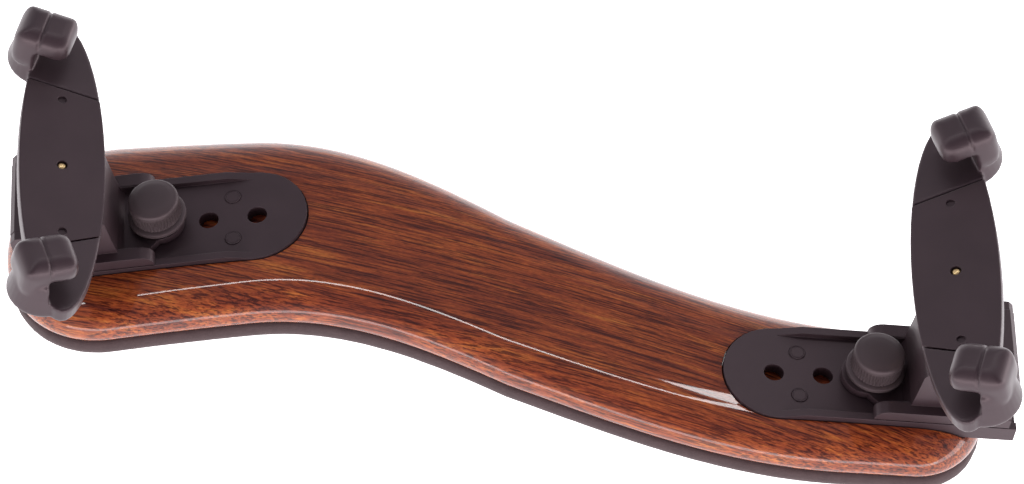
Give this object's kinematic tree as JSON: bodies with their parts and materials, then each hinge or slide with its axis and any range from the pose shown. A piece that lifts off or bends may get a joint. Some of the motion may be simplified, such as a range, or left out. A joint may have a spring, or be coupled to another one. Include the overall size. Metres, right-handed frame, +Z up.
{
  "type": "violin shoulder rest",
  "caption": "Curved lacquered shoulder rest bridge on a foam pad, with two height-adjustable swivelling forks held in sliding brackets.",
  "frame": {"origin": "centre of the footprint's bounding box, on the plane the foam rests on", "axes": "+X along the bridge to the player's right-hand (lower, front) end, +Y to the back, +Z up, away from the shoulder"},
  "size_m": [0.2396, 0.1304, 0.0705],
  "materials": {
    "lacquered_wood": "gloss",
    "dark_foam": "matte",
    "black_plastic": "satin",
    "brass": "satin",
    "steel": "satin",
    "knob_plastic": "matte",
    "black_rubber": "satin"
  },
  "bodies": {
    "bridge": {"bridge_body": "lacquered_wood", "foam_pad": "dark_foam", "left_end_plate": "black_plastic", "left_plate_pin_back": "black_plastic", "left_plate_pin_front": "black_plastic", "right_end_plate": "black_plastic", "right_plate_pin_back": "black_plastic", "right_plate_pin_front": "black_plastic"},
    "left_bracket": {"left_bracket": "black_plastic", "left_stem_bush": "brass"},
    "left_washer": {"left_clamp_washer": "steel"},
    "left_knob": {"left_clamp_knob": "knob_plastic", "left_clamp_screw": "steel"},
    "left_stem": {"left_stem": "brass"},
    "left_fork": {"left_fork_plate": "black_plastic", "left_boot_back": "black_rubber", "left_boot_front": "black_rubber"},
    "right_bracket": {"right_bracket": "black_plastic", "right_stem_bush": "brass"},
    "right_washer": {"right_clamp_washer": "steel"},
    "right_knob": {"right_clamp_knob": "knob_plastic", "right_clamp_screw": "steel"},
    "right_stem": {"right_stem": "brass"},
    "right_fork": {"right_fork_plate": "black_plastic", "right_boot_back": "black_rubber", "right_boot_front": "black_rubber"}
  },
  "joints": [
    {"name": "left_width_slide", "type": "slide", "parent": "bridge", "child": "left_bracket", "axis": [-0.9897, -0.0259, -0.1409], "range_m": [-0.0018, 0.0022]},
    {"name": "left_knob_lift", "type": "slide", "parent": "bridge", "child": "left_washer", "axis": [-0.1409, -0.0037, 0.99], "range_m": [0, 0.0016]},
    {"name": "left_knob_spin", "type": "hinge", "parent": "left_washer", "child": "left_knob", "pos_m": [-0.08241, 0.02232, 0.0191], "axis": [-0.1409, -0.0037, 0.99], "range_deg": [-1, 721]},
    {"name": "left_stem_rise", "type": "slide", "parent": "left_bracket", "child": "left_stem", "axis": [0.189, 0.0049, 0.982], "range_m": [-0.00101, 0.00801]},
    {"name": "left_fork_turn", "type": "hinge", "parent": "left_stem", "child": "left_fork", "pos_m": [-0.10459, 0.02174, 0.04301], "axis": [0.189, 0.0049, 0.982], "range_deg": [-360, 2880]},
    {"name": "right_width_slide", "type": "slide", "parent": "bridge", "child": "right_bracket", "axis": [0.9887, 0.0259, -0.1478], "range_m": [-0.0002, 0.0038]},
    {"name": "right_knob_lift", "type": "slide", "parent": "bridge", "child": "right_washer", "axis": [0.1478, 0.0039, 0.989], "range_m": [0, 0.0016]},
    {"name": "right_knob_spin", "type": "hinge", "parent": "right_washer", "child": "right_knob", "pos_m": [0.08599, -0.02218, 0.01738], "axis": [0.1478, 0.0039, 0.989], "range_deg": [-1, 721]},
    {"name": "right_stem_rise", "type": "slide", "parent": "right_bracket", "child": "right_stem", "axis": [-0.1822, -0.0048, 0.9833], "range_m": [-0.00701, 0.00301]},
    {"name": "right_fork_turn", "type": "hinge", "parent": "right_stem", "child": "right_fork", "pos_m": [0.10361, -0.02172, 0.05839], "axis": [-0.1822, -0.0048, 0.9833], "range_deg": [-2520, 1080]}
  ],
  "couplings": [
    {"joint": "left_knob_spin", "follows": "left_knob_lift", "rad_per_m": 7854},
    {"joint": "left_stem_rise", "follows": "left_fork_turn", "m_per_rad": 0.00015915},
    {"joint": "right_knob_spin", "follows": "right_knob_lift", "rad_per_m": 7854},
    {"joint": "right_stem_rise", "follows": "right_fork_turn", "m_per_rad": 0.00015915}
  ]
}
